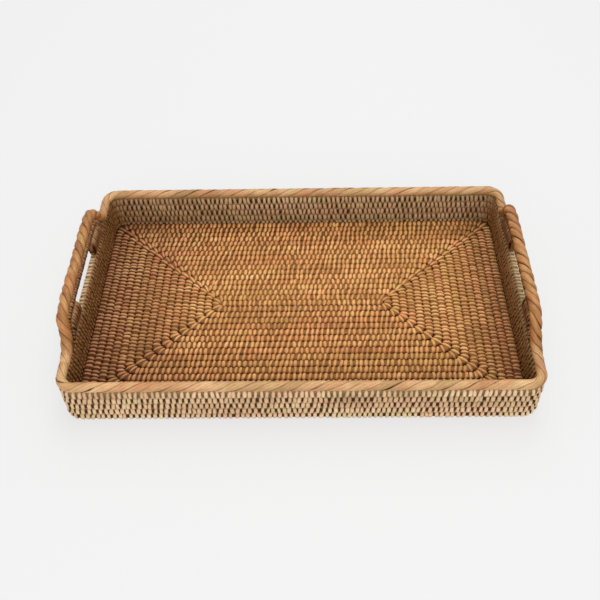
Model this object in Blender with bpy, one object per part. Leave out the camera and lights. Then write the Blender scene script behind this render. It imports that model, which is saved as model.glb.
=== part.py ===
"""Coiled rattan serving tray with a hand slot under an arched handle at each end.

The tray is worked the way the real one is. A straight start cane lies in the middle of
the floor, flat courses of lashed cane go round it, further courses stack up as the wall,
and a thicker rim cane finishes the edge. At each short end the rim is spliced to a cane
that leaves the wall and arches over the hand slot. A second cane is lashed beneath it,
and short filler canes close the corners between the slot and the feet of the arch.

Every solid is the outside of one lashed course: the cane with its binding of peel.
Units are metres, +Z is up, and the origin is under the middle of the tray.
"""
import math
from collections import namedtuple

import bmesh
import bpy
from mathutils import Vector

MM = 0.001

# Driving dimensions
GAP = 0.3 * MM                  # clearance between courses that touch on the real tray
FLOOR_COURSES = 16              # courses round the start cane
FLOOR_PITCH = 8.4 * MM          # from one floor course to the next, on average
FLOOR_CANE = 7.8 * MM           # lashed course of the floor, across its flats
FLOOR_DRIFT = 4.5 * MM          # start cane lies this far behind the middle, courses bunching
START_HALF_LENGTH = 87.2 * MM   # centre line of the straight start cane
WALL_COURSES = 5
WALL_CANE = 8.3 * MM            # height of a lashed course of the wall
WALL_THICKNESS = 10.4 * MM      # and its size across the wall
WALL_FLARE = 0.16 * MM          # each wall course stands this much outside the one below
RIM_CANE = 10.4 * MM            # rim cane with its broad wrapping
HANDLE_CANE = 8.3 * MM          # lashed cane under the arch
FILLER_CANE = 9.6 * MM          # filler canes between the slots and the arches' feet
INNER_CORNER = 8.4 * MM         # plan radius of the first floor course's corners
OUTER_CORNER = 14.0 * MM        # plan radius of the wall's corners
ARCH_RISE = 29.6 * MM           # rise from the level rim to the top of the arch
ARCH_SHOULDER = 89.0 * MM       # distance from the middle at which half the rise is left
ARCH_SQUARENESS = 18            # how sharply the arch turns down at its shoulders
ARCH_CROWN = 0.04               # share of the rise lost between the middle and a shoulder
ARCH_LEANS = {-1: 4.5 * MM, 1: -1.0 * MM}   # how far the top leans outwards, left and right
ARCH_END = 116.0 * MM           # where the arch is level again and meets the rim
SLOT_HALF_LENGTH = 41.0 * MM    # hand slot, from its middle to a filler cane's end

# Divisions of the curved stretches
CORNER_STEPS = 4
END_STEPS = 3                   # along each half-round end of a straight cane
FOOT_STEPS = 8                  # along each foot of the arch
CROWN_STEPS = 10                # along the top of the arch

# Derived dimensions
WALL_PITCH = WALL_CANE + GAP
WALL_REACH = FLOOR_COURSES * FLOOR_PITCH + (FLOOR_CANE + WALL_THICKNESS) / 2 + GAP
WALL_TOP = (WALL_COURSES - 1) * WALL_PITCH + WALL_CANE
RIM_HEIGHT = WALL_TOP + GAP + RIM_CANE / 2
RIM_REACH = WALL_REACH + WALL_COURSES * WALL_FLARE
RIM_HALF_LENGTH = START_HALF_LENGTH + RIM_REACH
FOOT_START = 66.0 * MM          # where the top of the arch begins to turn down
UNDER_DROP = RIM_CANE / 2 + GAP + HANDLE_CANE / 2

# Colour, roughness and metallic value of each kind of course
FLOOR_LOOK = ((0.36, 0.20, 0.085), 0.55, 0.0)
WALL_LOOK = ((0.34, 0.22, 0.11), 0.6, 0.0)
RIM_LOOK = ((0.47, 0.30, 0.13), 0.42, 0.0)
HANDLE_LOOK = ((0.33, 0.19, 0.08), 0.5, 0.0)

# A place on a cane's centre line, the direction of its outer side, and its size there
Station = namedtuple("Station", "point outward scale")


def clear_scene():
    """Remove every object, so that the scene holds only the tray."""
    for old in list(bpy.data.objects):
        bpy.data.objects.remove(old, do_unlink=True)


def make_material(name, look):
    """A Principled material with one kind of course's colour and finish."""
    colour, roughness, metallic = look
    material = bpy.data.materials.new(name)
    material.use_nodes = True
    shader = material.node_tree.nodes["Principled BSDF"]
    shader.inputs["Base Color"].default_value = (*colour, 1.0)
    shader.inputs["Roughness"].default_value = roughness
    shader.inputs["Metallic"].default_value = metallic
    return material


def section(width, height):
    """Eight corners of a cane's section, as (side, up), flat at the top, bottom and sides."""
    size = 0.5 / math.cos(math.pi / 8)
    angles = [math.pi / 8 + k * math.pi / 4 for k in range(8)]
    return [(size * width * math.cos(a), size * height * math.sin(a)) for a in angles]


def tangents(stations, closed):
    """Direction of the centre line at each station."""
    last = len(stations) - 1
    result = []
    for i in range(len(stations)):
        before = stations[i - 1] if closed or i > 0 else stations[i]
        after = stations[(i + 1) % (last + 1)] if closed or i < last else stations[i]
        result.append((after.point - before.point).normalized())
    return result


def add_cane(name, stations, width, look, closed=False, height=None, cut_height=None):
    """One cane: its section carried along the stations, with flat ends if it is open.

    The section is as high as it is wide unless height is given. With cut_height, both ends
    are cut level there, so that they stand flat on the course below.
    """
    height = width if height is None else height
    bm = bmesh.new()
    directions = tangents(stations, closed)
    rings = []
    for i, station in enumerate(stations):
        along = directions[i]
        up = station.outward.cross(along).normalized()
        is_end = i in (0, len(stations) - 1)
        ring = []
        for side, rise in section(width * station.scale, height * station.scale):
            corner = station.point + side * station.outward + rise * up
            if is_end and cut_height is not None:
                corner += along * ((cut_height - corner.z) / along.z)
            ring.append(bm.verts.new(corner))
        rings.append(ring)
    spans = len(rings) if closed else len(rings) - 1
    for i in range(spans):
        here = rings[i]
        there = rings[(i + 1) % len(rings)]
        for k in range(8):
            bm.faces.new((here[k], here[(k + 1) % 8], there[(k + 1) % 8], there[k]))
    if not closed:
        bm.faces.new(rings[0])
        bm.faces.new(rings[-1])
    bmesh.ops.recalc_face_normals(bm, faces=bm.faces)
    mesh = bpy.data.meshes.new(name)
    bm.to_mesh(mesh)
    bm.free()
    mesh.shade_smooth()
    mesh.set_sharp_from_angle(angle=math.radians(50))
    mesh.materials.append(make_material(name, look))
    cane = bpy.data.objects.new(name, mesh)
    bpy.context.collection.objects.link(cane)
    return cane


def ring_stations(half_length, half_width, corner, middle):
    """Stations of a level rounded rectangle, anticlockwise from the front right corner."""
    stations = []
    for quarter in range(4):
        sign_x = 1 if quarter in (0, 1) else -1
        sign_y = 1 if quarter in (1, 2) else -1
        offset = Vector((sign_x * (half_length - corner), sign_y * (half_width - corner), 0))
        start = (quarter - 1) * math.pi / 2
        for step in range(CORNER_STEPS + 1):
            angle = start + step * math.pi / 2 / CORNER_STEPS
            outward = Vector((math.cos(angle), math.sin(angle), 0))
            stations.append(Station(middle + offset + corner * outward, outward, 1))
    return stations


def straight_stations(start, end, outward, width):
    """Stations of a straight cane between two points, with half-round ends."""
    along = (end - start).normalized()
    turns = [k * math.pi / 2 / END_STEPS for k in range(1, END_STEPS + 1)]
    tips = [(width / 2 * (1 - math.cos(turn)), math.sin(turn)) for turn in turns]
    stations = [Station(start + reach * along, outward, scale) for reach, scale in tips]
    tips.reverse()
    stations += [Station(end - reach * along, outward, scale) for reach, scale in tips]
    return stations


def arch_rise(y):
    """Height of the rim cane's centre line over its level stretches."""
    reach = abs(y) / ARCH_SHOULDER
    return ARCH_RISE * (1 - ARCH_CROWN * reach ** 2) / (1 + reach ** ARCH_SQUARENESS)


def arch_places():
    """Distances along the short side at which the arch has stations, front to back."""
    foot = ARCH_END - FOOT_START
    front = [-ARCH_END + foot * k / FOOT_STEPS for k in range(FOOT_STEPS)]
    crown = [FOOT_START * (2 * k / CROWN_STEPS - 1) for k in range(CROWN_STEPS + 1)]
    back = [-y for y in reversed(front)]
    return front + crown + back


def arch_point(side, y, height):
    """A point in the leaning plane of the arch at one end of the tray."""
    lean = ARCH_LEANS[side] * (max(height - RIM_HEIGHT, 0) / ARCH_RISE) ** 2
    return Vector((side * (RIM_HALF_LENGTH + lean), y, height))


def arch_stations(side, profile):
    """Stations of a cane in the plane of one arch, in the tray's anticlockwise order."""
    ordered = profile if side > 0 else list(reversed(profile))
    outward = Vector((side, 0, 0))
    return [Station(arch_point(side, y, height), outward, 1) for y, height in ordered]


def under_profile(drop):
    """Points (y, height) at a distance below the arch's centre line, down to the wall."""
    step = 0.1 * MM
    profile = []
    for y in arch_places():
        slope = (arch_rise(y + step) - arch_rise(y - step)) / (2 * step)
        length = math.hypot(1, slope)
        point = (y + drop * slope / length, RIM_HEIGHT + arch_rise(y) - drop / length)
        if point[1] > WALL_TOP + GAP:
            profile.append(point)
    return profile


def slot_roof(y):
    """Height of the underside of the cane beneath the arch, at a distance from the middle."""
    profile = under_profile(UNDER_DROP + HANDLE_CANE / 2)
    for (y0, z0), (y1, z1) in zip(profile, profile[1:]):
        if y0 <= y <= y1:
            return z0 + (z1 - z0) * (y - y0) / (y1 - y0)
    return 0.0


def floor_middle(number):
    """Middle of a floor course: the drift dies away from the start cane to the wall."""
    drift = FLOOR_DRIFT * (1 - number / (FLOOR_COURSES + 1))
    return Vector((0, drift, FLOOR_CANE / 2))


def make_floor():
    """Start cane and the courses round it, all lying on the ground."""
    tip = Vector((START_HALF_LENGTH + FLOOR_CANE / 2, 0, 0))
    middle = floor_middle(0)
    stations = straight_stations(middle - tip, middle + tip, Vector((0, -1, 0)), FLOOR_CANE)
    add_cane("floor_start_cane", stations, FLOOR_CANE, FLOOR_LOOK)
    for number in range(1, FLOOR_COURSES + 1):
        reach = number * FLOOR_PITCH
        share = (number - 1) / FLOOR_COURSES
        corner = INNER_CORNER + (OUTER_CORNER - INNER_CORNER) * share
        middle = floor_middle(number)
        stations = ring_stations(START_HALF_LENGTH + reach, reach, corner, middle)
        add_cane(f"floor_course_{number:02d}", stations, FLOOR_CANE, FLOOR_LOOK, closed=True)


def make_wall():
    """Stacked courses, the lowest one round the floor and the top one the slots' sill."""
    for number in range(WALL_COURSES):
        reach = WALL_REACH + number * WALL_FLARE
        middle = Vector((0, 0, WALL_CANE / 2 + number * WALL_PITCH))
        stations = ring_stations(START_HALF_LENGTH + reach, reach, OUTER_CORNER, middle)
        name = f"wall_course_{number + 1}"
        add_cane(name, stations, WALL_THICKNESS, WALL_LOOK, closed=True, height=WALL_CANE)


def make_rim():
    """Level rim canes along the long sides, turning the corners to meet the arches."""
    middle = Vector((0, 0, RIM_HEIGHT))
    level = ring_stations(RIM_HALF_LENGTH, RIM_REACH, OUTER_CORNER, middle)
    corner = CORNER_STEPS + 1
    corners = [level[k * corner:(k + 1) * corner] for k in range(4)]
    splice = ARCH_END + GAP
    for name, end, first, second in (("front", -1, 3, 0), ("back", 1, 1, 2)):
        start = Vector((end * RIM_HALF_LENGTH, end * splice, RIM_HEIGHT))
        finish = Vector((-start.x, start.y, RIM_HEIGHT))
        outward = Vector((end, 0, 0))
        stations = [Station(start, outward, 1)] + corners[first] + corners[second]
        stations.append(Station(finish, -outward, 1))
        add_cane(f"rim_cane_{name}", stations, RIM_CANE, RIM_LOOK)


def make_fillers(side, label):
    """Short canes lying on the wall between one hand slot's ends and the arch's feet."""
    outward = Vector((side, 0, 0))
    for row, row_name in enumerate(("lower", "upper")):
        height = WALL_TOP + GAP + FILLER_CANE / 2 + row * (FILLER_CANE + GAP)
        top = height + FILLER_CANE / 2 + GAP
        reach = ARCH_SHOULDER
        while slot_roof(reach) < top:
            reach -= GAP
        for end, end_name in ((-1, "front"), (1, "back")):
            inner = arch_point(side, end * SLOT_HALF_LENGTH, height)
            outer = arch_point(side, end * reach, height)
            ends = (inner, outer) if end * side > 0 else (outer, inner)
            stations = straight_stations(*ends, outward, FILLER_CANE)
            name = f"handle_filler_{label}_{end_name}_{row_name}"
            add_cane(name, stations, FILLER_CANE, HANDLE_LOOK)


def make_handle(side, label):
    """Wrapped arch over one hand slot, the lashed cane beneath it, and the fillers."""
    arch = [(y, RIM_HEIGHT + arch_rise(y)) for y in arch_places()]
    add_cane(f"handle_arch_{label}", arch_stations(side, arch), RIM_CANE, RIM_LOOK)
    under = arch_stations(side, under_profile(UNDER_DROP))
    level = WALL_TOP + GAP
    add_cane(f"handle_under_cane_{label}", under, HANDLE_CANE, HANDLE_LOOK, cut_height=level)
    make_fillers(side, label)


def main():
    """Build the whole tray."""
    clear_scene()
    make_floor()
    make_wall()
    make_rim()
    make_handle(-1, "left")
    make_handle(1, "right")


main()
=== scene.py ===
"""Looks of the coiled rattan serving tray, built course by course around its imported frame.

Every packed course is replaced by a piece made the way the real one is. A floor or wall course
is a core cane with separate loops of split peel lashed over it. The loops reach into the
valleys beside the course, out of step with those of the next course. The rim and the arches
of the handles are canes laid with broad helical strips of peel.

Units are metres, +Z is up, and the origin is under the middle of the tray.
"""
import math
from collections import namedtuple

import bpy
import numpy as np
from mathutils import Matrix, Vector


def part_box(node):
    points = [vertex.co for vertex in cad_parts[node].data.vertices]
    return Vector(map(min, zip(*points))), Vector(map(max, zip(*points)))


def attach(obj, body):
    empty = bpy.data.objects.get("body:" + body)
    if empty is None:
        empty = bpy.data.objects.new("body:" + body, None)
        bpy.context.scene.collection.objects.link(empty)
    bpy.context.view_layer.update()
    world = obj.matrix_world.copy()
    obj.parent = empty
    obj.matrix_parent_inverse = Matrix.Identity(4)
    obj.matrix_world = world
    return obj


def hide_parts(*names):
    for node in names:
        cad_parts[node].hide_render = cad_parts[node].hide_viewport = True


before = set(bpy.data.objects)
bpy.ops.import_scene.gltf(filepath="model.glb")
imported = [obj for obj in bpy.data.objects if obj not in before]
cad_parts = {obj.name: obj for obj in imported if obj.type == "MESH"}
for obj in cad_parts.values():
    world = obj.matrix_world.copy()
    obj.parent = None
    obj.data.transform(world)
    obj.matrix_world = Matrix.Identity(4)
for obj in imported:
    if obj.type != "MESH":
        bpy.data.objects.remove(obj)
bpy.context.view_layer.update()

MM = 0.001

# Courses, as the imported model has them
FLOOR_COURSES = 16
FLOOR_PITCH = 8.4 * MM          # from one floor course to the next, on average
FLOOR_CANE = 7.8 * MM           # size of a lashed floor course across its flats
WALL_COURSES = 5
WALL_THICKNESS = 10.4 * MM      # size of a lashed wall course across the wall
INNER_CORNER = 8.4 * MM         # plan radius of the first floor course's corners
OUTER_CORNER = 14.0 * MM        # plan radius of the wall's and the rim's corners
CORNER_STEPS = 12               # divisions of a corner's quarter turn

# Handles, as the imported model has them
ARCH_RISE = 29.6 * MM           # rise of the handle's arch over the level rim
ARCH_SHOULDER = 89.0 * MM       # distance from the middle at which half the rise is left
ARCH_SQUARENESS = 18            # how sharply the arch turns down at its shoulders
ARCH_CROWN = 0.04               # share of the rise lost between the middle and a shoulder
ARCH_END = 116.15 * MM          # splice between the arch and the level rim
ARCH_LEANS = {-1: 4.5 * MM, 1: -1.0 * MM}   # how far the top leans outwards, left and right
HANDLE_CANE = 8.3 * MM          # lashed cane under the arch
UNDER_DROP = 9.65 * MM          # from the arch's centre line to that of the cane beneath it
UNDER_REACH = 110 * MM          # distance from the middle in which the cane beneath is looked for
UNDER_PLACES = 300              # places at which it is looked for

# Rows of stitches on the floor and the walls
LONG_PITCH = 5.5 * MM           # from one stitch to the next along the long sides
SHORT_PITCH = 5.2 * MM          # and along the short sides
FLOOR_TURN = -0.37              # shares of a pitch by which each course's stitches stand on
WALL_TURN = 0.45
SIDE_PAST = 0.2                 # share of a pitch by which a side's stitches go into a corner
SWAY = 0.9 * MM                 # how far stitches stray from their rows,
SWAY_WAVES = ((29 * MM, 1.1), (13 * MM, -0.8))  # in waves of these sizes that move on by row,
SWAY_FADE = 6                   # and that fade out in this many pitches before a corner
STITCH_OVERLAP = 1.0 * MM       # how far a stitch reaches past the valley beside its course
SHORT_SIDE_WIDTH = 0.8          # share of its width that a floor stitch has on the short sides

# A stitch's widths at the crown of its course and in the valley, how far its outer end stands
# behind its inner end, its thickness, how round it goes over its course, from 0, square, to 1,
# and the shortest and longest run of stitches made from one strip of peel
Stitch = namedtuple("Stitch", "width waist slant thickness roundness runs")
FLOOR_STITCH = Stitch(3.7 * MM, 2.0 * MM, -0.5 * MM, 1.5 * MM, 0.86, (14, 46))
WALL_STITCH = Stitch(4.1 * MM, 2.6 * MM, 0.25 * MM, 1.5 * MM, 0.7, (14, 46))
UNDER_STITCH = Stitch(2.8 * MM, 2.52 * MM, 0.0, 0.9 * MM, 0.86, (6, 20))
FILLER_STITCH = UNDER_STITCH._replace(runs=(3, 9))
LASHING_PITCH = 3.4 * MM        # from one of the handles' fine stitches to the next

# Points of a stitch: divisions round its course, and its section there, as shares of its width
# and thickness: crowned outside, flat inside
LOOP_STEPS = 16
STITCH_SECTION = ((-0.5, -0.62), (-0.4, -0.26), (-0.18, -0.04), (0.04, 0.0), (0.24, -0.07),
                  (0.42, -0.3), (0.5, -0.62), (0.36, -1.0), (-0.36, -1.0))

# How much stitches differ from one another: ranges of factors, and spreads
REACH_RANGE = (0.96, 1.04)
RISE_RANGE = (0.92, 1.0)
WIDTH_RANGE = (0.78, 1.1)
WAIST_RANGE = (0.75, 1.2)
SLANT_SPREAD = 0.4 * MM
SHIFT_SPREAD = 0.34 * MM        # along the course
BOW_SPREAD = 0.25 * MM          # of the crown, compared with the ends
WIDENING = 0.9                  # how evenly a stitch widens towards its crown
GRAIN_SPREAD = 90               # how far apart in the grain two stitches may lie
STRIP_SHARE = 0.55              # shares of a stitch's tone that come from its strip of peel
OWN_SHARE = 0.45                # and from itself
HUE_RUNS = (4, 30)              # shortest and longest run of stitches of one hue
VALLEY_FALL = 3                 # how fast the painted valley shade thins out towards the crown
SHADE_EDGE = 3                  # how sharply the painted shade ends between the crown and the side

# Core canes
CORE_SIDES = 12                 # faces round a core
CORE_COVER = 1.2 * MM           # height of the peel over a core cane
CORE_OVERLAP = 0.8 * MM         # how far a floor's core cane reaches under the next course
LAST_CORE_OVERLAP = 2.0 * MM    # and the last one into the wall
CORNER_REACH = 1.46             # how many times as far a course reaches across at a mitre
LAST_CORNER_REACH = 1.64        # and the last course, which meets the wall
OPEN_VALLEY = 0.72              # how much painted valley shade a core has on its open side
START_PAST = 0.4                # share of its size by which the start cane's core outreaches its line
START_STATIONS = 30             # places along that core

# Painted shade, from 0 to 1, which darkens the tray's ends beside the short walls and the inside of
# its walls
UNSHADED_REACH = (0.10, 0.17)      # how far out the tray is free of painted shade on the left and right,
SHADED_REACH = 0.22            # and fully shaded,
MOST_END_SHADE = (1.0, 0.6)         # and how darkly
WALL_SHADE = 0.27               # painted shade inside the top wall course,
LOWER_SHADE = 0.075             # more for each course further down,
SHORT_WALL_SHADE = 0.35         # more on the short walls,
END_SHADE = 0.35                # and more where the tray's ends are shaded

# Broad strips of the rim and the arches
STRIP_COUNT = 3
STRIP_THICKNESS = 1.0 * MM
STRIP_STEP = 1.5 * MM
STRIP_COLUMNS = 19
STRIP_WIDTH = 1.1               # as a share of its third of the way round
STRIP_LAP = 0.55 * MM           # how much lower a strip's tucked edge lies
STRIP_ROUNDNESS = 0.7           # how round its crown is, from 0, flat, to 1
STRIP_DRIFTS = ((0.24, 9), (0.1, 4))    # radians by which it strays, and steps that this takes
STRIP_RIDGES = 3                # fibres that stand out along a strip
RIDGE_WANDER = 0.16             # share of its width by which they stray,
WANDER_STEPS = 12               # and steps that this takes
GROOVE_SHADE = 0.35               # how dark the painted shade is between them
STRIP_SWELL = 0.2 * MM          # how far a strip stands out here and there,
STAINED_SWELL = 0.3 * MM        # how much further where it is stained,
SWELL_STEPS = 6                 # and steps that this takes
STRIP_TONE = 0.55               # how much a strip's tone varies,
STAINED_TONE = 0.45             # and how much more where it is stained
EDGE_FALL = 8                   # how fast painted shade thins out from a strip's edges,
STAINED_FALL = 4                # and how much less fast where it is stained
STRIP_GRAIN = 10                # a strip's width in its grain,
GRAIN_STEP = 17.0               # and how much the grain differs from strip to strip
RIM_STEP = 1.5 * MM             # between the points of the rim's line
RIM_STATIONS = 200              # of the core in each part of the rim
RIM_INSET = 0.3 * MM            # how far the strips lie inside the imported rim
SPLICE_FADE = 25 * MM           # length in which an arch's strips change into the rim's

# Length in which a strip goes round once, height of its crown and of the fibres on it,
# how many steps its colour takes to change, and how darkly it is stained, which also widens the
# painted shade at its edges
StripBuild = namedtuple("StripBuild", "lead bulge ridge tone_steps stain")
RIM_STRIP = StripBuild(54.0 * MM, 0.45 * MM, 0.2 * MM, 22, 0.0)
ARCH_STRIP = StripBuild(40.0 * MM, 1.4 * MM, 0.26 * MM, 8, 1.0)

# Fine lashing round the hand slots
UNDER_STEP = 3 * MM             # between the stations of the core of the cane beneath the arch
LASHING_COVER = 0.6 * MM        # height of the fine peel beside a core
FILLER_COVER = 0.5 * MM         # and over and under a filler's
FILLER_STEP = 1.5 * MM          # between the places at which the fillers' height is taken
FILLER_TUCK = 0.5 * MM          # how far they reach into the cane above them
FILLER_LEAST = 2 * MM           # their least height
FILLER_BLUNT = 5 * MM           # length in which they are rounded off towards the slot,
FILLER_START = 2 * MM           # and how much of it is left out

# First seeds of the random differences
COURSE_SEED = 1000
RIM_SEED = 2000
HANDLE_SEED = 3000

SMOOTH_ANGLE = math.radians(62)     # sharpest edge that is shaded smooth

# A peel's tones, its tints where it is reddish, olive, in the painted shade of a valley, and where it
# is stained or painted with shade, the number of patches in a metre along x, y and z, how much its
# strips differ, and its roughness
Peel = namedtuple("Peel", "dark middle light red olive shade patina patches contrast roughness")
FLOOR_PEEL = Peel(
    dark=(0.34, 0.148, 0.045), middle=(0.61, 0.295, 0.094), light=(0.86, 0.51, 0.200),
    red=(1.0, 0.84, 0.88), olive=(0.84, 0.93, 0.72), shade=(0.56, 0.44, 0.36),
    patina=(0.66, 0.61, 0.79), patches=(22, 55, 38), contrast=0.26, roughness=0.5)
WALL_PEEL = Peel(
    dark=(0.41, 0.260, 0.125), middle=(0.64, 0.440, 0.240), light=(0.80, 0.61, 0.370),
    red=(1.0, 0.86, 0.90), olive=(0.86, 0.95, 0.80), shade=(0.36, 0.29, 0.24),
    patina=(0.36, 0.23, 0.11), patches=(18, 24, 70), contrast=0.26, roughness=0.55)
RIM_PEEL = Peel(
    dark=(0.29, 0.149, 0.058), middle=(0.50, 0.284, 0.120), light=(0.72, 0.49, 0.255),
    red=(1.0, 0.82, 0.80), olive=(0.86, 0.95, 0.76), shade=(0.28, 0.19, 0.12),
    patina=(0.76, 0.59, 0.42), patches=(36, 36, 50), contrast=0.32, roughness=0.42)
HANDLE_PEEL = Peel(
    dark=(0.20, 0.095, 0.040), middle=(0.38, 0.195, 0.085), light=(0.58, 0.35, 0.17),
    red=(1.0, 0.80, 0.78), olive=(0.86, 0.90, 0.72), shade=(0.35, 0.26, 0.2),
    patina=(1.0, 1.0, 1.0), patches=(30, 30, 40), contrast=0.3, roughness=0.5)
PATCH_TONE = 0.2                # how much patches and streaks change a peel's tone
STREAK_TONE = 0.2
SPOT_FINENESS = 1.7             # how much finer the red and olive spots are than the patches
RED_HUES = (-0.5, 0.75)         # share of red in the least and the most reddish strip,
RED_SPOTS = 0.35                # and how much spots change it
OLIVE_HUES = (0.55, -0.7)       # share of olive in the same strips,
OLIVE_SPOTS = -0.3              # and how much spots change it
STREAK_SCALE = (2.6, 0.16, 1.0)     # streaks in a millimetre across and along the grain
FIBRE_SCALE = (7.0, 0.22, 1.0)
FIBRE_HEIGHT = 0.12 * MM
FIBRE_ROUGHNESS = (-0.08, 0.1)  # how much the fibres change a peel's roughness
PEEL_GLOSS = 0.28
PATCH_RANGE = (0.3, 0.7)        # in which the values of each noise mostly lie
STREAK_RANGE = (0.25, 0.75)
SPOT_RANGE = (0.35, 0.65)
FIBRE_RANGE = (0.3, 0.7)

# A core's tones, and its tints for painted shade deep in a valley and towards the tray's ends
FLOOR_CORE = ((0.17, 0.070, 0.020), (0.30, 0.135, 0.042))
WALL_CORE = ((0.20, 0.120, 0.055), (0.38, 0.250, 0.125))
CORE_SHADE = (0.15, 0.095, 0.065)
CORE_END_SHADE = (0.35, 0.25, 0.24)
CORE_SHADE_EDGES = (0.45, 0.85)     # how far into a valley its tint starts and is full
CORE_FIBRE_SCALE = (1.5, 0.12, 1.0)
CORE_ROUGHNESS = (0.7, 0.9)
CORE_GLOSS = 0.1

# Stage
GROUND_REACH = 6.0              # from the middle to each side
GROUND_GREY = 0.18
GROUND_GLOW = 0.65
WORLD_GLOW = 0.6
Light = namedtuple("Light", "name place size power")
LIGHTS = (Light("front", (0.0, -1.8, 1.2), 1.4, 26),
          Light("back", (0.1, 1.25, 1.65), 1.4, 16),
          Light("top", (0.2, 0.2, 1.8), 0.8, 9))
CAMERA_PLACE = (0.0178, -0.6367, 0.6859)
CAMERA_PITCH = math.radians(46.49)  # down from level
CAMERA_YAW = math.radians(-1.76)    # to the right of straight ahead
CAMERA_ROLL = math.radians(-1.79)
CAMERA_LENS = 50.47                 # millimetres, on a sensor this wide
CAMERA_SENSOR = 36

Places = namedtuple("Places", "points along across up")
Shape = namedtuple("Shape", "points quads caps attributes")
LevelRim = namedtuple("LevelRim", "half_length half_width height cane")


class Line:
    """A cane's centre line, looked up by the distance along it."""

    def __init__(self, points, across, closed):
        self.closed = closed
        self.points = np.array(points, float)
        self.across = np.array(across, float)
        ring = np.vstack([self.points, self.points[:1]]) if closed else self.points
        steps = np.linalg.norm(np.diff(ring, axis=0), axis=1)
        self.distances = np.concatenate([[0.0], np.cumsum(steps)])
        self.length = self.distances[-1]

    def _look_up(self, values, distance):
        rows = np.vstack([values, values[:1]]) if self.closed else values
        if self.closed:
            distance = np.mod(distance, self.length)
        columns = [np.interp(distance, self.distances, rows[:, k]) for k in range(3)]
        return np.stack(columns, axis=-1)

    def at(self, distance):
        """Points, directions along and across the line, and up, at these distances."""
        distance = np.asarray(distance, float)
        reach = 0.4 * MM
        points = self._look_up(self.points, distance)
        low = distance - reach
        high = distance + reach
        if not self.closed:
            low = np.clip(low, 0, self.length)
            high = np.clip(high, 0, self.length)
        along = unit(self._look_up(self.points, high) - self._look_up(self.points, low))
        across = self._look_up(self.across, distance)
        across = unit(across - along * np.sum(across * along, axis=-1, keepdims=True))
        return Places(points, along, across, np.cross(across, along))

    def centred(self, pitch, count):
        """This many distances at this pitch, about the middle of the line."""
        return self.length / 2 + (np.arange(count) - (count - 1) / 2) * pitch


def unit(vectors):
    return vectors / np.linalg.norm(vectors, axis=-1, keepdims=True)


def ring_line(half_length, half_width, corner, middle):
    """A level rounded rectangle, anticlockwise from the middle of the front."""
    points = [(0.0, -half_width)]
    across = [(0.0, -1.0)]
    for quarter in range(4):
        sign_x = 1 if quarter in (0, 1) else -1
        sign_y = 1 if quarter in (1, 2) else -1
        for step in range(CORNER_STEPS + 1):
            angle = (quarter - 1 + step / CORNER_STEPS) * math.pi / 2
            direction = (math.cos(angle), math.sin(angle))
            points.append((sign_x * (half_length - corner) + corner * direction[0],
                           sign_y * (half_width - corner) + corner * direction[1]))
            across.append(direction)
    flat = [(x + middle[0], y + middle[1], middle[2]) for x, y in points]
    return Line(flat, [(x, y, 0.0) for x, y in across], closed=True)


def ring_distances(half_length, half_width, corner, phase, row):
    """Distances of the stitches along a ring: in step with other rows on straight sides."""
    straight_x = half_length - corner
    straight_y = half_width - corner
    quarter = straight_x + corner * math.pi / 2 + straight_y
    sides = []
    for k in range(4):
        half, pitch = ((straight_x, LONG_PITCH), (straight_y, SHORT_PITCH))[k % 2]
        reach = half + SIDE_PAST * pitch
        first = math.ceil(-reach / pitch - phase)
        last = math.floor(reach / pitch - phase)
        local = (np.arange(first, last + 1) + phase) * pitch
        if not len(local):
            local = np.zeros(1)
        fade = np.clip((reach - np.abs(local)) / (SWAY_FADE * pitch), 0, 1)
        sway = sum(np.sin(local / size + turn * row) for size, turn in SWAY_WAVES)
        sides.append(k * quarter + local + SWAY * fade * sway)
    result = []
    for k in range(4):
        # The stitches in a corner share out the way from this side's last to the next one's first
        result.append(sides[k])
        start = sides[k][-1]
        end = sides[(k + 1) % 4][0] + (4 * quarter if k == 3 else 0)
        count = max(1, round((end - start) / SHORT_PITCH))
        result.append(start + (end - start) * np.arange(1, count) / count)
    return np.concatenate(result)


def runs(rng, count, shortest, longest):
    """One random number from -1 to 1 for each stitch, the same along each strip of peel."""
    values = np.empty(count)
    start = 0
    while start < count:
        stop = start + int(rng.integers(shortest, longest + 1))
        values[start:stop] = rng.uniform(-1, 1)
        start = stop
    return values


def drifting(rng, count, step):
    """One random number from -1 to 1 for each place, changing gradually over this many."""
    knots = rng.uniform(-1, 1, count // step + 2)
    return np.interp(np.arange(count) / step, np.arange(len(knots)), knots)


def merge(shapes):
    """Several shapes as one."""
    start = 0
    points, quads, caps = [], [], []
    for shape in shapes:
        points.append(shape.points)
        quads.append(shape.quads + start)
        caps += [cap + start for cap in shape.caps]
        start += len(shape.points)
    names = shapes[0].attributes
    attributes = {n: np.concatenate([s.attributes[n] for s in shapes]) for n in names}
    return Shape(np.concatenate(points), np.concatenate(quads), caps, attributes)


def grid_quads(rows, columns, closed):
    """Faces of rings of points, numbered ring by ring. Closed joins the last to the first."""
    i, j = np.meshgrid(np.arange(rows if closed else rows - 1), np.arange(columns), indexing="ij")
    down = (i + 1) % rows
    right = (j + 1) % columns
    corners = (i * columns + j, i * columns + right, down * columns + right, down * columns + j)
    return np.stack([c.ravel() for c in corners], axis=1)


def column(values):
    """One value for all stitches or one for each, shaped to meet the points of the loops."""
    return np.reshape(values, (-1, 1, 1))


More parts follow.
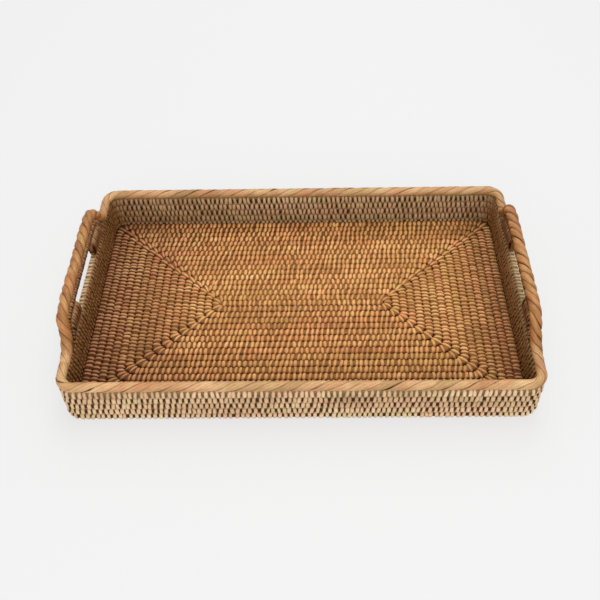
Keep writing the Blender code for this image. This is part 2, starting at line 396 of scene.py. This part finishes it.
def stitches(places, reach, rise, stitch, seed, open_side=False, stain=0.0):
    """Closed loops of peel round a course, one at each place.

    The loops reach across the course into its valleys, where they are narrow, and rise over
    its crown, where they are wide. None goes below the ground. Each loop carries painted shade
    on its sides and inner face and in the valleys. With open_side, the course has no neighbour
    on its far side, which gets no painted valley shade. Painted shade from the last argument
    darkens the crowns, or the side away from them where it is negative: towards the tray's ends
    and inside the walls.
    """
    rng = np.random.default_rng(seed)
    count = len(places.points)
    each = (count, 1, 1)
    run = runs(rng, count, *stitch.runs)
    reach = column(reach) * rng.uniform(*REACH_RANGE, each)
    rise = column(rise) * rng.uniform(*RISE_RANGE, each)
    width = column(stitch.width) * rng.uniform(*WIDTH_RANGE, each)
    waist = column(stitch.waist) * rng.uniform(*WAIST_RANGE, each)
    slant = rng.normal(stitch.slant, SLANT_SPREAD, each)
    shift = rng.normal(0, SHIFT_SPREAD, each)
    bow = rng.normal(0, BOW_SPREAD, each)
    grain_start = rng.uniform(0, GRAIN_SPREAD, each)
    tone = STRIP_SHARE * run + OWN_SHARE * rng.uniform(-1, 1, count)
    hue = runs(rng, count, *HUE_RUNS)

    section = np.array(STITCH_SECTION)
    section_along, section_out = section[None, None, :, 0], section[None, None, :, 1]
    share = np.arange(LOOP_STEPS)[None, :, None] / LOOP_STEPS
    angles = -math.pi / 2 + 2 * math.pi * share
    cos, sin = np.cos(angles), np.sin(angles)
    normal_across = cos * rise
    normal_up = sin * reach
    depth = section_out * stitch.thickness / np.sqrt(normal_across ** 2 + normal_up ** 2)
    across = np.sign(cos) * np.abs(cos) ** stitch.roundness * reach + depth * normal_across
    up = np.sign(sin) * np.abs(sin) ** stitch.roundness * rise + depth * normal_up
    spread = waist + (width - waist) * np.abs(sin) ** WIDENING
    along = section_along * spread + slant * cos + shift + bow * sin ** 2
    points = (places.points[:, None, None, :]
              + across[..., None] * places.across[:, None, None, :]
              + up[..., None] * places.up[:, None, None, :]
              + along[..., None] * places.along[:, None, None, :])
    points[..., 2] = np.maximum(points[..., 2], 0)
    loop_points = LOOP_STEPS * len(section)
    quads = grid_quads(LOOP_STEPS, len(section), True) + column(np.arange(count) * loop_points)

    # Painted shade in the valleys beside the course, only on its low side where it is open
    low_side = np.clip(-cos, 0, 1) if open_side else np.abs(cos)
    stain = column(stain)
    way_round = share * 2 * math.pi * np.mean(rise)
    every = (count, LOOP_STEPS, len(section))
    grain = [np.broadcast_to(part, every)
             for part in (section_along * spread / MM, way_round / MM, grain_start)]
    attributes = {"grain": np.stack(grain, axis=-1).reshape(-1, 3)}
    # Attributes for the material: grain, tone and hue, painted shade on the loop's sides and in its
    # valleys, and painted shade towards the tray's ends and inside the walls
    for name, values in (
            ("deep", np.clip(-section_out, 0, 1)),
            ("tone", column(tone)),
            ("hue", column(hue)),
            ("valley", low_side ** VALLEY_FALL),
            ("stain", np.abs(stain) * np.clip(np.sign(stain) * sin * SHADE_EDGE, 0, 1))):
        attributes[name] = np.broadcast_to(values, every).ravel()
    return Shape(points.reshape(-1, 3), quads.reshape(-1, 4), [], attributes)


def tube(line, distances, radius_across, radius_up, open_side=False, stain=0.0):
    """A core cane, swept along its line.

    The sizes and the painted shade towards the tray's ends are one for all or one for each distance.
    """
    places = line.at(distances)
    rows = len(distances)
    angles = 2 * math.pi * np.arange(CORE_SIDES) / CORE_SIDES
    across = np.reshape(radius_across, (-1, 1)) * np.cos(angles)
    up = np.reshape(radius_up, (-1, 1)) * np.sin(angles)
    points = (places.points[:, None]
              + across[..., None] * places.across[:, None]
              + up[..., None] * places.up[:, None])
    ring = np.arange(CORE_SIDES)
    ends = [] if line.closed else [ring[::-1], (rows - 1) * CORE_SIDES + ring]
    # Painted shade on the sides that face the next courses, less on an open side
    facing = np.cos(angles)
    openness = OPEN_VALLEY if open_side else 1
    count = rows * CORE_SIDES
    attributes = {
        "grain": np.stack([
            np.tile(angles * np.mean(radius_up) / MM, rows),
            np.repeat(distances / MM, CORE_SIDES),
            np.zeros(count)], axis=-1),
        "deep": np.ones(count),
        "tone": np.full(count, -1.0),
        "hue": np.zeros(count),
        "valley": np.tile(np.where(facing > 0, openness * facing, -facing), rows),
        "stain": np.repeat(np.broadcast_to(stain, rows), CORE_SIDES),
    }
    quads = grid_quads(rows, CORE_SIDES, line.closed)
    return Shape(points.reshape(-1, 3), quads, ends, attributes)


def mitre_reach(places, corner_reach):
    """How much wider a flat course is at each place: this much in the middle of a corner."""
    square = np.maximum(np.abs(places.across[:, 0]), np.abs(places.across[:, 1]))
    return 1 + (corner_reach - 1) * (1 - square) / (1 - math.sqrt(0.5))


def strip_quads(rows):
    """Faces of a strip: its outside, edges and inside, and then its two ends."""
    wide = 2 * STRIP_COLUMNS
    ends = []
    for row, flip in ((0, -1), (rows - 1, 1)):
        for k in range(STRIP_COLUMNS - 1):
            corners = np.array([k, k + 1, wide - 2 - k, wide - 1 - k]) + row * wide
            ends.append(corners[::flip])
    return np.concatenate([grid_quads(rows, wide, False), np.array(ends)])


def strips(line, start, stop, radius, build, first_turn, seed):
    """Broad ridged strips side by side round a cane, each with one edge over the next one.

    They bulge as the rim's strips do at the splices, and as build says between them.
    """
    rng = np.random.default_rng(seed)
    rows = int((stop - start) / STRIP_STEP) + 1
    distances = np.linspace(start, stop, rows)
    places = line.at(distances)
    inside = np.clip(np.minimum(distances - start, stop - distances) / SPLICE_FADE, 0, 1)
    bulge = RIM_STRIP.bulge + (build.bulge - RIM_STRIP.bulge) * inside[:, None]
    stained = build.stain * inside
    share = np.linspace(0, 1, STRIP_COLUMNS)
    ring_share = np.concatenate([share, share[::-1]])
    wide = len(ring_share)
    edge = np.abs(ring_share - 0.5) * 2
    span = 2 * math.pi / STRIP_COUNT * STRIP_WIDTH
    quads = strip_quads(rows)
    shapes = []
    for strip in range(STRIP_COUNT):
        drift = inside * sum(size * drifting(rng, rows, steps) for size, steps in STRIP_DRIFTS)
        turn = first_turn + (distances - start) / build.lead + strip / STRIP_COUNT
        angle = (2 * math.pi * turn + drift)[:, None] + span * (share - 0.5)
        wander = RIDGE_WANDER * drifting(rng, rows, WANDER_STEPS)[:, None]
        fibres = np.abs(np.sin(math.pi * STRIP_RIDGES * (share + wander)))
        crown = bulge * np.sin(math.pi * share) ** STRIP_ROUNDNESS + STRIP_LAP * (share - 1)
        swell = (STRIP_SWELL + STAINED_SWELL * stained) * drifting(rng, rows, SWELL_STEPS)
        outer = radius + crown + swell[:, None] + build.ridge * (fibres - 1)
        layers = [places.points[:, None]
                  + (layer * np.cos(angle))[..., None] * places.across[:, None]
                  + (layer * np.sin(angle))[..., None] * places.up[:, None]
                  for layer in (outer, outer - STRIP_THICKNESS)]
        points = np.concatenate([layers[0], layers[1][:, ::-1]], axis=1)
        # Painted shade in the grooves between the fibres and on the strip's inner face
        painted_shade = np.concatenate([GROOVE_SHADE * (1 - fibres) ** 2, np.ones_like(fibres)], axis=1)
        tone = drifting(rng, rows, build.tone_steps) * (STRIP_TONE + STAINED_TONE * stained)
        hue = drifting(rng, rows, build.tone_steps)
        attributes = {
            "grain": np.stack([
                np.tile(ring_share * STRIP_GRAIN, rows),
                np.repeat(distances / MM, wide),
                np.full(rows * wide, strip * GRAIN_STEP + first_turn)], axis=-1),
            "deep": painted_shade.ravel(),
            "tone": np.repeat(tone, wide),
            "hue": np.repeat(hue, wide),
            # Painted shade towards the strip's edges, wider where it is stained
            "valley": (edge ** (EDGE_FALL - STAINED_FALL * stained[:, None])).ravel(),
            "stain": np.repeat(stained, wide),
        }
        shapes.append(Shape(points.reshape(-1, 3), quads, [], attributes))
    return shapes


def add_piece(name, shape, material, nodes):
    """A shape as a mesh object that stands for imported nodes."""
    loops = np.concatenate([shape.quads.ravel(), *shape.caps])
    sizes = np.concatenate([np.full(len(shape.quads), 4), [len(cap) for cap in shape.caps]])
    starts = np.concatenate([[0], np.cumsum(sizes)[:-1]])
    mesh = bpy.data.meshes.new(name)
    mesh.vertices.add(len(shape.points))
    mesh.vertices.foreach_set("co", shape.points.astype(np.float32).ravel())
    mesh.loops.add(len(loops))
    mesh.loops.foreach_set("vertex_index", loops.astype(np.int32))
    mesh.polygons.add(len(sizes))
    mesh.polygons.foreach_set("loop_start", starts.astype(np.int32))
    mesh.update(calc_edges=True)
    for key, values in shape.attributes.items():
        if values.ndim == 2:
            attribute = mesh.attributes.new(key, "FLOAT_VECTOR", "POINT")
            attribute.data.foreach_set("vector", values.astype(np.float32).ravel())
        else:
            attribute = mesh.attributes.new(key, "FLOAT", "POINT")
            attribute.data.foreach_set("value", values.astype(np.float32))
    mesh.shade_smooth()
    mesh.set_sharp_from_angle(angle=SMOOTH_ANGLE)
    mesh.materials.append(material)
    piece = bpy.data.objects.new(name, mesh)
    bpy.context.scene.collection.objects.link(piece)
    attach(piece, "root")
    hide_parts(*nodes)
    return piece


# Materials


class Nodes:
    """A material's node tree, with short ways to add and link nodes."""

    def __init__(self, name):
        self.material = bpy.data.materials.new(name)
        self.material.use_nodes = True
        self.tree = self.material.node_tree
        self.shader = self.tree.nodes["Principled BSDF"]

    def add(self, kind, **settings):
        node = self.tree.nodes.new(kind)
        for key, value in settings.items():
            setattr(node, key, value)
        return node

    def link(self, output, target):
        self.tree.links.new(output, target)

    def attribute(self, name, output="Fac"):
        return self.add("ShaderNodeAttribute", attribute_name=name).outputs[output]

    def math(self, operation, first, second, clamp=False):
        node = self.add("ShaderNodeMath", operation=operation, use_clamp=clamp)
        self.link(first, node.inputs[0])
        self.link(second, node.inputs[1])
        return node.outputs[0]

    def noise(self, vector, scale, detail=2.0, roughness=0.5):
        """A noise with this many spots in a unit along x, y and z."""
        scaled = self.add("ShaderNodeVectorMath", operation="MULTIPLY")
        self.link(vector, scaled.inputs[0])
        scaled.inputs[1].default_value = scale
        node = self.add("ShaderNodeTexNoise")
        self.link(scaled.outputs[0], node.inputs["Vector"])
        node.inputs["Scale"].default_value = 1.0
        node.inputs["Detail"].default_value = detail
        node.inputs["Roughness"].default_value = roughness
        return node.outputs["Fac"]

    def remap(self, value, low, high, to_low, to_high):
        node = self.add("ShaderNodeMapRange")
        self.link(value, node.inputs["Value"])
        for key, number in (("From Min", low), ("From Max", high),
                            ("To Min", to_low), ("To Max", to_high)):
            node.inputs[key].default_value = number
        return node.outputs[0]

    def ramp(self, value, stops):
        node = self.add("ShaderNodeValToRGB")
        ramp = node.color_ramp
        while len(ramp.elements) < len(stops):
            ramp.elements.new(0.5)
        for element, (place, colour) in zip(ramp.elements, stops):
            element.position = place
            element.color = (*colour, 1.0)
        self.link(value, node.inputs["Fac"])
        return node.outputs["Color"]

    def tint(self, share, colour, tint):
        """A colour multiplied by a tint, by as much as share says."""
        node = self.add("ShaderNodeMix", data_type="RGBA", blend_type="MULTIPLY")
        factor, colour_a, colour_b = node.inputs[0], node.inputs[6], node.inputs[7]
        self.link(share, factor)
        self.link(colour, colour_a)
        colour_b.default_value = (*tint, 1.0)
        return node.outputs[2]


def peel_material(name, peel):
    """Split rattan peel: a tone for each strip, stained patches, grain, painted shade in the valleys
    and on the sides of the loops, and a tint for stain and painted shade where marked.
    """
    nodes = Nodes(name)
    place = nodes.add("ShaderNodeTexCoord").outputs["Object"]
    grain = nodes.attribute("grain", "Vector")
    hue = nodes.attribute("hue")

    patches = nodes.noise(place, peel.patches, detail=3.0, roughness=0.6)
    streaks = nodes.noise(grain, STREAK_SCALE, detail=3.0, roughness=0.65)
    level = nodes.remap(nodes.attribute("tone"), -1, 1, 0.5 - peel.contrast, 0.5 + peel.contrast)
    patches = nodes.remap(patches, *PATCH_RANGE, -PATCH_TONE, PATCH_TONE)
    streaks = nodes.remap(streaks, *STREAK_RANGE, -STREAK_TONE, STREAK_TONE)
    level = nodes.math("ADD", nodes.math("ADD", level, patches), streaks, clamp=True)
    colour = nodes.ramp(level, ((0.0, peel.dark), (0.5, peel.middle), (1.0, peel.light)))

    spots = nodes.noise(place, tuple(SPOT_FINENESS * scale for scale in peel.patches))
    for tint, hues, most in ((peel.red, RED_HUES, RED_SPOTS),
                             (peel.olive, OLIVE_HUES, OLIVE_SPOTS)):
        share = nodes.math("ADD", nodes.remap(hue, -1, 1, *hues),
                           nodes.remap(spots, *SPOT_RANGE, -most, most), clamp=True)
        colour = nodes.tint(share, colour, tint)
    # Painted shade on the sides and inner faces of the loops and in the valleys between courses
    painted_shade = nodes.math("MAXIMUM", nodes.attribute("deep"), nodes.attribute("valley"))
    colour = nodes.tint(painted_shade, colour, peel.shade)
    # Tint for stain on the arches, and for painted shade towards the tray's ends and inside the walls
    colour = nodes.tint(nodes.attribute("stain"), colour, peel.patina)
    nodes.link(colour, nodes.shader.inputs["Base Color"])

    fibres = nodes.noise(grain, FIBRE_SCALE)
    rough = nodes.remap(fibres, *FIBRE_RANGE, *(peel.roughness + r for r in FIBRE_ROUGHNESS))
    nodes.link(rough, nodes.shader.inputs["Roughness"])
    bump = nodes.add("ShaderNodeBump")
    bump.inputs["Strength"].default_value = 0.5
    bump.inputs["Distance"].default_value = FIBRE_HEIGHT
    nodes.link(fibres, bump.inputs["Height"])
    nodes.link(bump.outputs["Normal"], nodes.shader.inputs["Normal"])
    nodes.shader.inputs["Specular IOR Level"].default_value = PEEL_GLOSS
    return nodes.material


def core_material(name, dark, light):
    """The core cane that shows between the stitches, with painted shade in the valleys and towards
    the tray's ends.
    """
    nodes = Nodes(name)
    fibres = nodes.noise(nodes.attribute("grain", "Vector"), CORE_FIBRE_SCALE, detail=3.0)
    colour = nodes.ramp(fibres, tuple(zip(FIBRE_RANGE, (dark, light))))
    # Painted shade deep in the valleys, then painted shade towards the tray's ends
    low = nodes.remap(nodes.attribute("valley"), *CORE_SHADE_EDGES, 0.0, 1.0)
    colour = nodes.tint(low, colour, CORE_SHADE)
    colour = nodes.tint(nodes.attribute("stain"), colour, CORE_END_SHADE)
    nodes.link(colour, nodes.shader.inputs["Base Color"])
    rough = nodes.remap(fibres, *FIBRE_RANGE, *CORE_ROUGHNESS)
    nodes.link(rough, nodes.shader.inputs["Roughness"])
    nodes.shader.inputs["Specular IOR Level"].default_value = CORE_GLOSS
    return nodes.material


# Pieces


def join_course(name, core, covers, materials, nodes):
    """A core and its covering as one piece with a material each."""
    cover = merge(covers)
    whole = merge([cover, core])
    cover_material, inner_material = materials
    piece = add_piece(name + "_lashed", whole, cover_material, nodes)
    piece.data.materials.append(inner_material)
    indices = np.zeros(len(piece.data.polygons), np.int32)
    indices[len(cover.quads):] = 1
    piece.data.polygons.foreach_set("material_index", indices)


def end_shade(places):
    """How much painted shade the tray has at each place: more towards its ends, beside the short
    walls.
    """
    x = places.points[:, 0]
    unshaded = np.where(x < 0, *UNSHADED_REACH)
    most = np.where(x < 0, *MOST_END_SHADE)
    return most * np.clip((np.abs(x) - unshaded) / (SHADED_REACH - unshaded), 0, 1)


def ring_course(name, number, corner, width):
    """A packed course's line, the places of its stitches, and its height."""
    low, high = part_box(name)
    half_length = (high.x - low.x - width) / 2
    half_width = (high.y - low.y - width) / 2
    line = ring_line(half_length, half_width, corner, (low + high) / 2)
    floor_turns = min(number, FLOOR_COURSES)
    phase = (FLOOR_TURN * floor_turns + WALL_TURN * (number - floor_turns)) % 1
    distances = ring_distances(half_length, half_width, corner, phase, number)
    return line, line.at(distances), high.z - low.z


def floor_course(number, materials):
    """A flat course, which reaches across to the next one, and further at its mitres."""
    name = f"floor_course_{number:02d}"
    corner = INNER_CORNER + (OUTER_CORNER - INNER_CORNER) * (number - 1) / FLOOR_COURSES
    line, places, height = ring_course(name, number, corner, FLOOR_CANE)
    is_last = number == FLOOR_COURSES
    corner_reach = LAST_CORNER_REACH if is_last else CORNER_REACH
    overlap = LAST_CORE_OVERLAP if is_last else CORE_OVERLAP
    narrow = 1 - (1 - SHORT_SIDE_WIDTH) * np.abs(places.across[:, 0])
    stitch = FLOOR_STITCH._replace(width=narrow * FLOOR_STITCH.width,
                                   waist=narrow * FLOOR_STITCH.waist)
    reach = (height / 2 + STITCH_OVERLAP) * mitre_reach(places, corner_reach)
    # Painted shade towards the tray's ends, beside the short walls, on the loops and the core
    loops = stitches(places, reach, height / 2, stitch, COURSE_SEED + number,
                     stain=end_shade(places))
    stations = line.distances[:-1]
    core_places = line.at(stations)
    core_reach = (FLOOR_PITCH / 2 + overlap) * mitre_reach(core_places, corner_reach)
    core = tube(line, stations, core_reach, height / 2 - CORE_COVER, stain=end_shade(core_places))
    join_course(name, core, [loops], materials, [name])


def wall_course(number, materials):
    """A stacked course, whose stitches reach up and down and bulge out of the wall."""
    name = f"wall_course_{number}"
    row = FLOOR_COURSES + number
    line, places, height = ring_course(name, row, OUTER_CORNER, WALL_THICKNESS)
    places = places._replace(across=places.up, up=places.across)
    # Painted shade inside the wall: more on lower courses, on the short walls and towards the tray's
    # ends
    stain = (WALL_SHADE + LOWER_SHADE * (WALL_COURSES - number)
             + SHORT_WALL_SHADE * np.abs(places.up[:, 0]) + END_SHADE * end_shade(places))
    is_top = number == WALL_COURSES
    loops = stitches(places, height / 2 + STITCH_OVERLAP, WALL_THICKNESS / 2, WALL_STITCH,
                     COURSE_SEED + row, is_top, -np.clip(stain, 0, 1))
    core = tube(line, line.distances[:-1], WALL_THICKNESS / 2 - CORE_COVER, height / 2, is_top)
    join_course(name, core, [loops], materials, [name])


def make_start_cane(materials):
    """The straight cane in the middle of the floor."""
    name = "floor_start_cane"
    low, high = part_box(name)
    cane = high.z - low.z
    middle = (low + high) / 2
    half = (high.x - low.x) / 2 - cane / 2
    ends = [(middle.x - half, middle.y, middle.z), (middle.x + half, middle.y, middle.z)]
    across = [(0, -1, 0)] * 2
    line = Line(ends, across, closed=False)
    count = int(line.length / LONG_PITCH) + 1
    places = line.at(line.centred(LONG_PITCH, count))
    loops = stitches(places, cane / 2 + STITCH_OVERLAP, cane / 2, FLOOR_STITCH, COURSE_SEED)
    core_ends = [(x + math.copysign(cane * START_PAST, x), y, z) for x, y, z in ends]
    core_line = Line(core_ends, across, closed=False)
    core = tube(core_line, np.linspace(0, core_line.length, START_STATIONS),
                FLOOR_PITCH / 2 + CORE_OVERLAP, cane / 2 - CORE_COVER)
    join_course(name, core, [loops], materials, [name])


def level_rim():
    """Sizes of the level rim's centre line, its height, and the thickness of its cane."""
    low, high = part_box("rim_cane_front")
    cane = high.z - low.z
    return LevelRim((high.x - low.x) / 2 - cane / 2, -low.y - cane / 2, (low.z + high.z) / 2, cane)


def arch_rise(y):
    """Height of the arch over the level rim."""
    reach = abs(y) / ARCH_SHOULDER
    return ARCH_RISE * (1 - ARCH_CROWN * reach ** 2) / (1 + reach ** ARCH_SQUARENESS)


def arch_lean(side, rise):
    """How far the arch's plane leans outwards at this height over the level rim."""
    return ARCH_LEANS[side] * (max(rise, 0) / ARCH_RISE) ** 2


def rim_line(rim):
    """The whole edge, anticlockwise from the middle of the front, with both arches."""
    flat = ring_line(rim.half_length, rim.half_width, OUTER_CORNER, (0, 0, rim.height))
    places = flat.at(np.arange(0, flat.length, RIM_STEP))
    points = places.points.copy()
    tolerance = 0.1 * MM
    on_side = np.abs(points[:, 0]) > rim.half_length - tolerance
    for i in np.flatnonzero(on_side & (np.abs(points[:, 1]) < ARCH_END)):
        rise = arch_rise(points[i, 1])
        side = 1 if points[i, 0] > 0 else -1
        points[i, 0] += side * arch_lean(side, rise)
        points[i, 2] += rise
    return Line(points, places.across, closed=True)


def crossings(line):
    """Distances at which the edge passes the four splices, anticlockwise."""
    found = []
    y = line.points[:, 1]
    for i in range(len(y) - 1):
        for splice in (-ARCH_END, ARCH_END):
            if (y[i] - splice) * (y[i + 1] - splice) < 0:
                found.append(line.distances[i])
    return found


def make_rim(materials):
    """Rim canes and arches: a core laid with broad strips, which go round in step."""
    rim = level_rim()
    line = rim_line(rim)
    marks = crossings(line)
    spans = (("handle_arch_right", marks[0], marks[1]),
             ("rim_cane_back", marks[1], marks[2]),
             ("handle_arch_left", marks[2], marks[3]),
             ("rim_cane_front", marks[3], marks[0] + line.length))
    arches = sum(stop - start for name, start, stop in spans if name.startswith("handle"))
    arch_turns = arches / ARCH_STRIP.lead
    level = line.length - arches
    # All round the edge, the strips turn by whole thirds, so that they meet where they start
    turns = round(STRIP_COUNT * (level / RIM_STRIP.lead + arch_turns)) / STRIP_COUNT
    rim_strip = RIM_STRIP._replace(lead=level / (turns - arch_turns))
    radius = rim.cane / 2 - RIM_INSET
    core_radius = radius - STRIP_THICKNESS
    turn = 0.0
    for k, (name, start, stop) in enumerate(spans):
        build = ARCH_STRIP if name.startswith("handle") else rim_strip
        covers = strips(line, start, stop, radius, build, turn, RIM_SEED + k)
        turn += (stop - start) / build.lead
        places = line.at(np.linspace(start, stop, RIM_STATIONS))
        core_line = Line(places.points, places.across, closed=False)
        core = tube(core_line, core_line.distances, core_radius, core_radius)
        join_course(name, core, covers, materials, [name])


def under_profile(drop):
    """Places (y, z) at this distance below the arch's centre line, front to back."""
    rim = level_rim()
    step = 0.1 * MM
    places = []
    for y in np.linspace(-UNDER_REACH, UNDER_REACH, UNDER_PLACES):
        slope = (arch_rise(y + step) - arch_rise(y - step)) / (2 * step)
        size = math.hypot(1, slope)
        places.append((y + drop * slope / size, rim.height + arch_rise(y) - drop / size))
    return places


def arch_line(side, places):
    """A line through places (y, z), front to back, in an arch's leaning plane, anticlockwise."""
    rim = level_rim()
    points = [(side * (rim.half_length + arch_lean(side, z - rim.height)), y, z)
              for y, z in places]
    return Line(points[::side], [(side, 0, 0)] * len(points), closed=False)


def fine_lashing(line, reach, rises, stitch, seed):
    """Fine loops along a short cane. They rise by as much as given for the line's points."""
    count = int((line.length - stitch.width / 2) / LASHING_PITCH)
    distances = line.centred(LASHING_PITCH, count)
    rise = np.interp(distances, line.distances, rises)
    return stitches(line.at(distances), reach, rise, stitch, seed)


def make_under_cane(side, label, seed, materials):
    """The lashed cane beneath an arch."""
    name = f"handle_under_cane_{label}"
    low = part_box(name)[0].z
    line = arch_line(side, [(y, z) for y, z in under_profile(UNDER_DROP) if z >= low])
    radius = HANDLE_CANE / 2
    rises = np.full(len(line.points), radius)
    loops = fine_lashing(line, radius, rises, UNDER_STITCH, seed)
    stations = np.linspace(0, line.length, int(line.length / UNDER_STEP))
    core = tube(line, stations, radius - LASHING_COVER, radius - LASHING_COVER)
    join_course(name, core, [loops], materials, [name])


def make_filler(side, label, end, seed, materials):
    """The filler canes between a hand slot and a foot of its arch, lashed together."""
    nodes = [f"handle_filler_{label}_{end}_{row}" for row in ("lower", "upper")]
    low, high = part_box(nodes[0])
    thickness = high.z - low.z
    inner = min(abs(low.y), abs(high.y))
    # Their roof is the lower side of the cane beneath the arch
    profile = [(y, z) for y, z in under_profile(UNDER_DROP + HANDLE_CANE / 2) if z > low.z]
    roof_y, roof_z = np.array(profile).T
    reaches = np.arange(inner, roof_y.max(), FILLER_STEP)
    roofs = np.interp(reaches, roof_y, roof_z) + FILLER_TUCK
    half_heights = np.maximum(roofs - low.z, FILLER_LEAST) / 2
    blunt = np.clip((reaches - inner + FILLER_START) / FILLER_BLUNT, 0, 1) ** 0.5
    sign = 1 if end == "back" else -1
    places = [(sign * reach, low.z + half) for reach, half in zip(reaches, half_heights)]
    line = arch_line(side, places[::sign])
    half_heights, blunt = half_heights[::sign * side], blunt[::sign * side]
    rises = half_heights * blunt
    loops = fine_lashing(line, thickness / 2, rises, FILLER_STITCH, seed)
    core = tube(line, line.distances, (thickness / 2 - LASHING_COVER) * blunt,
                rises - FILLER_COVER)
    join_course(nodes[0].removesuffix("_lower"), core, [loops], materials, nodes)


def make_handles(materials):
    """The canes lashed beneath the arches, and the filler canes."""
    seed = HANDLE_SEED
    for side, label in ((-1, "left"), (1, "right")):
        seed += 1
        make_under_cane(side, label, seed, materials)
        for end in ("front", "back"):
            seed += 1
            make_filler(side, label, end, seed, materials)


# Stage


def make_stage():
    """A pale ground, a pale world and large soft lights."""
    mesh = bpy.data.meshes.new("ground")
    corners = [(x * GROUND_REACH, y * GROUND_REACH, 0)
               for x, y in ((-1, -1), (1, -1), (1, 1), (-1, 1))]
    mesh.from_pydata(corners, [], [(0, 1, 2, 3)])
    ground = bpy.data.objects.new("ground", mesh)
    bpy.context.scene.collection.objects.link(ground)
    nodes = Nodes("pale_paper")
    nodes.shader.inputs["Base Color"].default_value = (GROUND_GREY, GROUND_GREY, GROUND_GREY, 1)
    nodes.shader.inputs["Roughness"].default_value = 1.0
    nodes.shader.inputs["Specular IOR Level"].default_value = 0.0
    nodes.shader.inputs["Emission Color"].default_value = (1.0, 1.0, 1.0, 1)
    nodes.shader.inputs["Emission Strength"].default_value = GROUND_GLOW
    mesh.materials.append(nodes.material)

    world = bpy.data.worlds.new("studio")
    world.use_nodes = True
    background = world.node_tree.nodes["Background"]
    background.inputs["Color"].default_value = (1.0, 1.0, 1.0, 1)
    background.inputs["Strength"].default_value = WORLD_GLOW
    bpy.context.scene.world = world

    for light in LIGHTS:
        add_light(light)


def add_light(light):
    """A square soft box aimed at the tray."""
    data = bpy.data.lights.new(light.name, "AREA")
    data.size = light.size
    data.energy = light.power
    lamp = bpy.data.objects.new(light.name, data)
    lamp.location = light.place
    lamp.rotation_euler = (-Vector(light.place)).to_track_quat("-Z", "Y").to_euler()
    bpy.context.scene.collection.objects.link(lamp)


def make_camera():
    """The photograph's angle: in front of the tray and well above it."""
    data = bpy.data.cameras.new("camera")
    data.lens = CAMERA_LENS
    data.sensor_width = CAMERA_SENSOR
    camera = bpy.data.objects.new("camera", data)
    forward = Vector((math.sin(CAMERA_YAW) * math.cos(CAMERA_PITCH),
                      math.cos(CAMERA_YAW) * math.cos(CAMERA_PITCH), -math.sin(CAMERA_PITCH)))
    right = Vector((math.cos(CAMERA_YAW), -math.sin(CAMERA_YAW), 0))
    upward = right.cross(forward)
    side = math.cos(CAMERA_ROLL) * right + math.sin(CAMERA_ROLL) * upward
    top = -math.sin(CAMERA_ROLL) * right + math.cos(CAMERA_ROLL) * upward
    turn = Matrix((side, top, -forward)).transposed()
    camera.matrix_world = Matrix.Translation(CAMERA_PLACE) @ turn.to_4x4()
    bpy.context.scene.collection.objects.link(camera)
    bpy.context.scene.camera = camera


def main():
    """Build the pieces and the stage."""
    core = core_material("floor_core", *FLOOR_CORE)
    wall_core = core_material("wall_core", *WALL_CORE)
    floor = (peel_material("floor_peel", FLOOR_PEEL), core)
    wall = (peel_material("wall_peel", WALL_PEEL), wall_core)
    rim = (peel_material("rim_peel", RIM_PEEL), core)
    handle = (peel_material("handle_peel", HANDLE_PEEL), core)
    make_start_cane(floor)
    for number in range(1, FLOOR_COURSES + 1):
        floor_course(number, floor)
    for number in range(1, WALL_COURSES + 1):
        wall_course(number, wall)
    make_rim(rim)
    make_handles(handle)
    make_stage()
    make_camera()
    bpy.context.scene.view_settings.view_transform = "Standard"


main()
